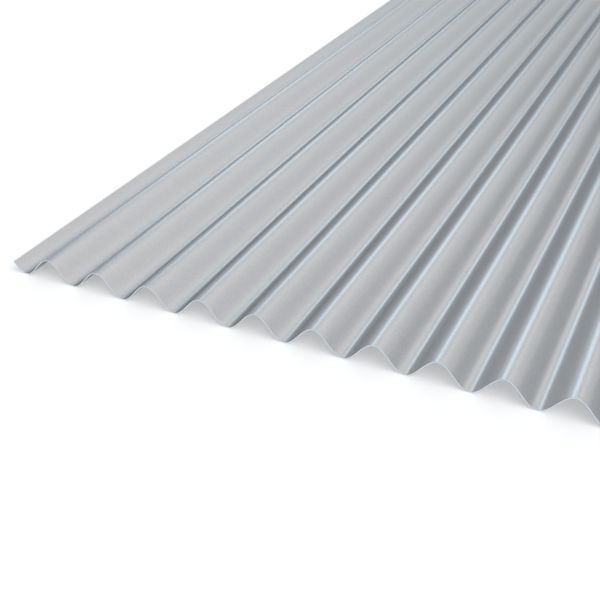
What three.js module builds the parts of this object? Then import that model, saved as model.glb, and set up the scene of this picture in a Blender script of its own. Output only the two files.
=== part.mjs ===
// A sinusoidal corrugated steel sheet: one roll-formed piece of constant thickness.
// Units are millimetres, +Z is up. The corrugations run along Y, and the sheet lies on
// its troughs with the origin under its centre, at the level of the trough bottoms.
import * as THREE from "three";

// Driving dimensions.
const PITCH = 76.2; // crest to crest
const WAVE_DEPTH = 28.7; // trough to crest, measured on the same face of the sheet
const THICKNESS = 1.2; // 18 gauge steel, with its coating
const WAVES = 11; // whole waves from one side edge to the other
const LENGTH = 1800; // along the corrugations

// Steps in one wave, an even number. Each crest and each trough falls on the middle of a
// step, so each has a narrow level land for a purlin or a washer to bear on.
const STEPS_PER_WAVE = 32;

// Worked out from the driving dimensions.
const WIDTH = WAVES * PITCH;
const MID_HEIGHT = (WAVE_DEPTH + THICKNESS) / 2; // mid-surface at a side edge, above the floor
const AMPLITUDE = WAVE_DEPTH / 2 / Math.cos(Math.PI / STEPS_PER_WAVE); // level lands at full depth

// The mid-surface is a sine that starts and ends at half height. From the left edge it
// dips into a trough first, so that edge is turned up and the right one is turned down.
function midPoint(x) {
  const phase = (2 * Math.PI * (x + WIDTH / 2)) / PITCH;
  return new THREE.Vector2(x, MID_HEIGHT - AMPLITUDE * Math.sin(phase));
}

// Both side edges, and the middle of every step between them.
function stations() {
  const count = WAVES * STEPS_PER_WAVE;
  const between = Array.from({ length: count }, (_, i) => ((i + 0.5) / count - 0.5) * WIDTH);
  return [-WIDTH / 2, ...between, WIDTH / 2];
}

// The upward normal of the straight run from one point of the section to the next.
function runNormal(from, to) {
  const run = to.clone().sub(from).normalize();
  return new THREE.Vector2(-run.y, run.x);
}

// One face of the sheet, offset from the mid-surface by a mitre at every point, so the
// steel is equally thick on every run.
function face(offset) {
  const mid = stations().map(midPoint);
  const normals = mid.slice(1).map((point, i) => runNormal(mid[i], point));
  return mid.map((point, i) => {
    const before = normals[Math.max(i - 1, 0)];
    const after = normals[Math.min(i, normals.length - 1)];
    const mitre = before.clone().add(after).normalize();
    return point.clone().addScaledVector(mitre, offset / mitre.dot(after));
  });
}

// The closed section across the corrugations: along the lower face, and back on the upper.
function section() {
  return new THREE.Shape([...face(-THICKNESS / 2), ...face(THICKNESS / 2).reverse()]);
}

// The section is extruded to the sheet's length and turned so that it runs along Y.
function corrugatedSheet() {
  const geometry = new THREE.ExtrudeGeometry(section(), { depth: LENGTH, bevelEnabled: false });
  const coatedSteel = new THREE.MeshStandardMaterial({
    color: 0xbcbec1,
    roughness: 0.4,
    metalness: 0.9,
  });
  const sheet = new THREE.Mesh(geometry, coatedSteel);
  sheet.name = "corrugated_sheet";
  sheet.rotation.x = Math.PI / 2;
  sheet.position.y = LENGTH / 2;
  return sheet;
}

const part = new THREE.Group();
part.add(corrugatedSheet());

export default part;
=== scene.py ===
"""The looks of a corrugated steel sheet: a fine mesh of its rolled wave with softened cut
edges, a satin zinc-coated finish, a white studio and the camera. Metres, +Z up. The
corrugations run along Y, and the sheet lies on its troughs on the floor."""

import math

import bpy
import numpy as np
from mathutils import Euler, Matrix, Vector

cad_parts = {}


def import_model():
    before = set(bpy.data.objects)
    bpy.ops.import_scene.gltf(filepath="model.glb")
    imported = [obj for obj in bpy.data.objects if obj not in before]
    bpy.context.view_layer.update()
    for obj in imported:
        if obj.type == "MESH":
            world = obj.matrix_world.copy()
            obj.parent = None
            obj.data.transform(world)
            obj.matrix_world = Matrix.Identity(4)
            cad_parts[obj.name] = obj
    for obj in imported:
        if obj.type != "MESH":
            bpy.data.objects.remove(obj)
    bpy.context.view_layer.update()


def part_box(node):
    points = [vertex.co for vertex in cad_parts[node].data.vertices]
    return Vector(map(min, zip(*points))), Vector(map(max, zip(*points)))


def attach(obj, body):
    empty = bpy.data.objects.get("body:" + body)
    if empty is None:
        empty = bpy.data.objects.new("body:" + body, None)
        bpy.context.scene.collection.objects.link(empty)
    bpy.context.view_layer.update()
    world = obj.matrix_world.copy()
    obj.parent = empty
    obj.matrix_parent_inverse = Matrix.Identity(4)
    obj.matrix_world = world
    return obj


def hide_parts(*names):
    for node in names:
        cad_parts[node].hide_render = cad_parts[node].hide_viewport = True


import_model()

NODE = "corrugated_sheet"

# Driving dimensions of the rolled section. The frame gives the rest.
PITCH = 0.0762  # crest to crest
WAVES = 11  # whole waves from one side edge to the other
THICKNESS = 0.0012
EDGE_ROUND = 0.00022  # softening of the cut edges

node_low, node_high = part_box(NODE)
LENGTH = node_high.y - node_low.y
WIDTH = WAVES * PITCH
WAVE_DEPTH = node_high.z - node_low.z - THICKNESS
MID_HEIGHT = (node_low.z + node_high.z) / 2

# How finely the surface is sampled.
STEPS_PER_WAVE = 64
STEPS_ALONG = 36

# The camera stands in front of the cut end, to the right of the middle.
CAMERA_IN_PITCHES = (5.314, -11.276, 8.477)  # from the middle of the front end, at half height
CAMERA_YAW = math.radians(25.09)  # turned left, away from the corrugations' direction
CAMERA_DOWN = math.radians(32.08)
FOCAL_PIXELS = 973.7
IMAGE_PIXELS = 600
SENSOR_MM = 36

# The studio's light round the sheet, by the angle across it: 0 is overhead, and -90 and 90
# are level on its left and right. A broad soft box hangs overhead and to the right, and the
# left wall is a cooler one, beyond a dim gap.
DOME = (
    (-90, (0.67, 0.78, 0.91)),
    (-60, (0.35, 0.40, 0.49)),
    (-30, (0.30, 0.30, 0.31)),
    (0, (0.68, 0.71, 0.73)),
    (30, (0.80, 0.78, 0.78)),
    (60, (0.66, 0.66, 0.68)),
    (90, (0.30, 0.30, 0.30)),
)
BACK_TINT = (1.09, 1.19, 1.24)  # how much brighter and cooler the dome is towards the back
BACK_START, BACK_FULL = 0.85, 0.95  # how far back, as the Y of a direction of length 1
BACKDROP_TOP = (0.18, 0.08)  # the dome fades into the white between these, as a direction's Z
FLOOR_GREY = 0.92
FLOOR_LIFT = 0.24  # makes the pale floor white where it is seen directly
FLOOR_REACH = 30  # from the middle to each side


# ---------------------------------------------------------------- node helpers


class Nodes:
    """A short way to write a material's or the world's node tree."""

    def __init__(self, tree):
        self.tree = tree
        tree.nodes.clear()

    def add(self, kind, inputs=(), **settings):
        node = self.tree.nodes.new(kind)
        for name, value in settings.items():
            setattr(node, name, value)
        for socket, value in dict(inputs).items():
            self.feed(node.inputs[socket], value)
        return node

    def feed(self, socket, value):
        if isinstance(value, bpy.types.NodeSocket):
            self.tree.links.new(value, socket)
        else:
            socket.default_value = value

    def math(self, operation, *values):
        node = self.tree.nodes.new("ShaderNodeMath")
        node.operation = operation
        for socket, value in zip(node.inputs, values):
            self.feed(socket, value)
        return node.outputs[0]

    def noise(self, vector, scale, detail=2.0, roughness=0.5):
        inputs = {"Vector": vector, "Scale": scale, "Detail": detail, "Roughness": roughness}
        return self.add("ShaderNodeTexNoise", inputs).outputs["Fac"]

    def crystals(self, vector, per_metre):
        """A value from 0 to 1 for each cell of a crazed pattern. A finer noise pushes the
        borders by up to 0.7 of a cell, so that they are ragged."""
        ragged = self.add("ShaderNodeTexNoise", {"Vector": vector, "Scale": per_metre * 2.5})
        push = self.add("ShaderNodeVectorMath", operation="MULTIPLY_ADD")
        self.feed(push.inputs[0], ragged.outputs["Color"])
        self.feed(push.inputs[1], (0.7 / per_metre,) * 3)
        self.feed(push.inputs[2], vector)
        inputs = {"Vector": push.outputs[0], "Scale": per_metre}
        cells = self.add("ShaderNodeTexVoronoi", inputs).outputs["Color"]
        return self.add("ShaderNodeSeparateXYZ", {"Vector": cells}).outputs["X"]

    def within(self, value, low, high):
        """0 below low and 1 above high, on a straight line between them."""
        inputs = {"Value": value, "From Min": low, "From Max": high}
        return self.add("ShaderNodeMapRange", inputs).outputs["Result"]

    def stretch(self, vector, scale):
        return self.add("ShaderNodeMapping", {"Vector": vector, "Scale": scale}).outputs[0]

    def spread(self, value, low, high):
        """A 0 to 1 value mapped to low to high."""
        inputs = {"Value": value, "To Min": low, "To Max": high}
        return self.add("ShaderNodeMapRange", inputs).outputs["Result"]

    def ramp(self, value, stops):
        """The colour at a value from 0 to 1, on straight lines between (place, colour) stops."""
        node = self.add("ShaderNodeValToRGB", {"Fac": value})
        points = node.color_ramp.elements
        while len(points) < len(stops):
            points.new(1)
        for point, (place, color) in zip(points, stops):
            point.position = place
            point.color = (*color, 1)
        return node.outputs["Color"]

    def mix(self, factor, a, b, blend="MIX"):
        """Colour b blended over colour a. The node's colour sockets are 6, 7 and output 2."""
        node = self.add("ShaderNodeMix", data_type="RGBA", blend_type=blend)
        self.feed(node.inputs["Factor"], factor)
        self.feed(node.inputs[6], a)
        self.feed(node.inputs[7], b)
        return node.outputs[2]


def new_material(name):
    material = bpy.data.materials.new(name)
    material.use_nodes = True
    return material, Nodes(material.node_tree)


# ---------------------------------------------------------------- materials
# A pattern's scale is in features per metre, so a small one stretches it along that axis.


def coated_steel():
    """Satin zinc-alloy-coated steel: a fine spangle of crystals some 2 mm across, faint
    clouding, and drag lines and hairline scuffs along the corrugations from the rolls."""
    material, n = new_material("coated_steel")
    place = n.add("ShaderNodeTexCoord").outputs["Object"]

    clouds = n.noise(n.stretch(place, (14, 2.2, 14)), 1.0, 3)
    drag = n.noise(n.stretch(place, (900, 3, 900)), 1.0, 3, 0.65)
    grain = n.noise(place, 2600, 2)
    spangle = n.crystals(place, 520)
    hairs = n.noise(n.stretch(place, (2600, 6, 2600)), 1.0, 2)
    scuffs = n.within(hairs, 0.66, 0.74)

    # Crystals, clouding and drag lines make up the tone, and the scuffs lighten it further.
    pale = (0.81, 0.815, 0.82, 1)
    deep = (0.68, 0.69, 0.70, 1)
    tone = n.math("MULTIPLY", spangle, 0.5)
    tone = n.math("MULTIPLY_ADD", clouds, 0.3, tone)
    tone = n.math("MULTIPLY_ADD", drag, 0.2, tone)
    tone = n.math("MULTIPLY_ADD", scuffs, 0.3, tone)
    color = n.mix(tone, deep, pale)

    roughness = n.spread(clouds, 0.29, 0.31)
    roughness = n.math("ADD", roughness, n.spread(drag, -0.03, 0.03))
    roughness = n.math("MULTIPLY_ADD", spangle, 0.02, roughness)
    relief = n.math("ADD", n.math("MULTIPLY", drag, 0.7), n.math("MULTIPLY", grain, 0.3))
    bump = n.add("ShaderNodeBump", {"Height": relief, "Strength": 0.12, "Distance": 0.00004})
    shader = n.add(
        "ShaderNodeBsdfPrincipled",
        {"Base Color": color, "Metallic": 0.9, "Roughness": roughness,
         "Specular Tint": (0.48, 0.48, 0.475, 1), "Normal": bump.outputs[0]},
    )
    n.add("ShaderNodeOutputMaterial", {"Surface": shader.outputs[0]})
    return material


def cut_steel_and_painted_reflection():
    """The sheared edge, with its fine shear lines across the thickness. Its bright pale blue
    colour is a painted highlight and a painted reflection of the cool back light.
    """
    material, n = new_material("cut_steel_and_painted_reflection")
    place = n.add("ShaderNodeTexCoord").outputs["Object"]
    shear = n.noise(n.stretch(place, (3200, 3200, 160)), 1.0, 2)
    # Painted highlight and painted reflection: these pale blue-white colours stand in for the
    # cool back light on the edge. The shear lines that vary them are the steel's own.
    color = n.mix(shear, (0.60, 0.67, 0.75, 1), (0.78, 0.84, 0.91, 1))
    bump = n.add("ShaderNodeBump", {"Height": shear, "Strength": 0.2, "Distance": 0.00003})
    shader = n.add(
        "ShaderNodeBsdfPrincipled",
        {"Base Color": color, "Metallic": 0.8, "Roughness": n.spread(shear, 0.3, 0.45),
         "Normal": bump.outputs[0]},
    )
    n.add("ShaderNodeOutputMaterial", {"Surface": shader.outputs[0]})
    return material


# ---------------------------------------------------------------- the sheet


def wave(x):
    """Height of the mid-surface and its slope: from the left edge it dips into a trough."""
    turn = 2 * math.pi / PITCH
    phase = turn * (x + WIDTH / 2)
    height = MID_HEIGHT - WAVE_DEPTH / 2 * np.sin(phase)
    slope = -WAVE_DEPTH / 2 * turn * np.cos(phase)
    return height, slope


def face_points(side, y):
    """The points of the upper (side 1) or lower (side -1) face, one row for each y."""
    x = np.linspace(-WIDTH / 2, WIDTH / 2, WAVES * STEPS_PER_WAVE + 1)
    height, slope = wave(x)
    reach = side * THICKNESS / 2 / np.sqrt(1 + slope**2)
    row_x = x - slope * reach
    row_z = height + reach
    rows = [np.stack([row_x, np.full_like(x, at), row_z], axis=1) for at in y]
    return np.concatenate(rows)


def strip(first, second):
    """Quads between two runs of as many points."""
    return [(a, b, d, c) for a, b, c, d in zip(first, first[1:], second, second[1:])]


def sheet_piece(finish, edge_steel_and_painted_reflection):
    y = np.linspace(-LENGTH / 2, LENGTH / 2, STEPS_ALONG + 1)
    points = np.concatenate([face_points(1, y), face_points(-1, y)])
    across = WAVES * STEPS_PER_WAVE + 1
    index = np.arange(len(points)).reshape(2, len(y), across)
    upper, lower = index

    faces = []
    for near, far in zip(upper, upper[1:]):
        faces += strip(near, far)
    for near, far in zip(lower, lower[1:]):
        faces += strip(far, near)
    rolled = len(faces)
    faces += strip(lower[0], upper[0])
    faces += strip(upper[-1], lower[-1])
    faces += strip(upper[:, 0], lower[:, 0])
    faces += strip(lower[:, -1], upper[:, -1])

    mesh = bpy.data.meshes.new("sheet")
    mesh.from_pydata(points.tolist(), [], [tuple(int(i) for i in face) for face in faces])
    mesh.materials.append(finish)
    mesh.materials.append(edge_steel_and_painted_reflection)
    mesh.polygons.foreach_set("material_index", [int(i >= rolled) for i in range(len(faces))])
    mesh.polygons.foreach_set("use_smooth", [True] * len(faces))
    mesh.validate()

    sheet = bpy.data.objects.new("sheet", mesh)
    bpy.context.scene.collection.objects.link(sheet)
    soften = sheet.modifiers.new("softened_edges", "BEVEL")
    soften.width = EDGE_ROUND
    soften.segments = 2
    soften.limit_method = "ANGLE"
    soften.angle_limit = math.radians(60)
    soften.material = 1
    soften.harden_normals = True
    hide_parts(NODE)
    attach(sheet, "root")
    return sheet


# ---------------------------------------------------------------- studio


def seen_directly(n):
    """1 on camera, glossy and transmission rays, and 0 on the rays that carry diffuse light."""
    path = n.add("ShaderNodeLightPath").outputs
    both = n.math("MAXIMUM", path["Is Camera Ray"], path["Is Glossy Ray"])
    return n.math("MAXIMUM", both, path["Is Transmission Ray"])


def floor():
    material, n = new_material("floor")
    matte = n.add("ShaderNodeBsdfDiffuse", {"Color": (FLOOR_GREY, FLOOR_GREY, FLOOR_GREY, 1)})
    lift = n.math("MULTIPLY", seen_directly(n), FLOOR_LIFT)
    glow = n.add("ShaderNodeEmission", {"Color": (1, 1, 1, 1), "Strength": lift})
    both = n.add("ShaderNodeAddShader")
    n.feed(both.inputs[0], matte.outputs[0])
    n.feed(both.inputs[1], glow.outputs[0])
    n.add("ShaderNodeOutputMaterial", {"Surface": both.outputs[0]})

    far = FLOOR_REACH
    corners = [(-far, -far, 0), (far, -far, 0), (far, far, 0), (-far, far, 0)]
    mesh = bpy.data.meshes.new("floor")
    mesh.from_pydata(corners, [], [(0, 1, 2, 3)])
    mesh.materials.append(material)
    plane = bpy.data.objects.new("floor", mesh)
    bpy.context.scene.collection.objects.link(plane)


def world():
    """Soft light from all round, above a white backdrop that stands round the floor. The
    camera sees that white everywhere."""
    scene_world = bpy.data.worlds.new("studio")
    scene_world.use_nodes = True
    bpy.context.scene.world = scene_world
    n = Nodes(scene_world.node_tree)
    direction = n.add("ShaderNodeTexCoord").outputs["Generated"]
    axes = n.add("ShaderNodeSeparateXYZ", {"Vector": direction}).outputs
    across = n.math("ARCTAN2", axes["X"], axes["Z"])
    place = n.math("MULTIPLY_ADD", across, 1 / math.pi, 0.5)
    color = n.ramp(place, [((angle + 90) / 180, light) for angle, light in DOME])
    back = n.within(axes["Y"], BACK_START, BACK_FULL)
    color = n.mix(back, color, (*BACK_TINT, 1), "MULTIPLY")
    around = n.add("ShaderNodeBackground", {"Color": color, "Strength": 1.0})
    white = n.add("ShaderNodeBackground", {"Color": (1, 1, 1, 1), "Strength": 1.0})
    backdrop = n.math("MULTIPLY", n.within(axes["Z"], *BACKDROP_TOP), seen_directly(n))
    path = n.add("ShaderNodeLightPath").outputs
    shown = n.math("MAXIMUM", backdrop, path["Is Camera Ray"])
    mixed = n.add("ShaderNodeMixShader", {"Fac": shown})
    n.feed(mixed.inputs[1], around.outputs[0])
    n.feed(mixed.inputs[2], white.outputs[0])
    n.add("ShaderNodeOutputWorld", {"Surface": mixed.outputs[0]})


def sun(name, towards, strength, spread, color=(1, 1, 1)):
    """A soft lamp at a great distance, in the direction towards it from the sheet. Its
    spread is how wide it looks, in degrees."""
    light = bpy.data.lights.new(name, "SUN")
    light.energy = strength
    light.angle = math.radians(spread)
    light.color = color
    lamp = bpy.data.objects.new(name, light)
    lamp.rotation_euler = Vector(towards).to_track_quat("Z", "Y").to_euler()
    bpy.context.scene.collection.objects.link(lamp)
    return lamp


def lamps():
    key = sun("key", towards=(0.6, -0.2, 0.77), strength=1.05, spread=60)
    key.visible_glossy = False  # no glare spot on the metal
    cool = (0.79, 0.92, 1.0)
    sun("back", towards=(-0.35, 0.84, 0.41), strength=0.183, spread=28, color=cool)


def camera():
    lens = bpy.data.cameras.new("camera")
    lens.sensor_width = SENSOR_MM
    lens.lens = FOCAL_PIXELS / IMAGE_PIXELS * SENSOR_MM
    lens.clip_start = 0.01
    viewer = bpy.data.objects.new("camera", lens)
    right, forward, up = (PITCH * value for value in CAMERA_IN_PITCHES)
    viewer.location = (right, node_low.y + forward, MID_HEIGHT + up)
    viewer.rotation_euler = Euler((math.pi / 2 - CAMERA_DOWN, 0, CAMERA_YAW))
    bpy.context.scene.collection.objects.link(viewer)
    bpy.context.scene.camera = viewer


camera()
sheet_piece(coated_steel(), cut_steel_and_painted_reflection())
floor()
world()
lamps()

bpy.context.scene.view_settings.view_transform = "Standard"
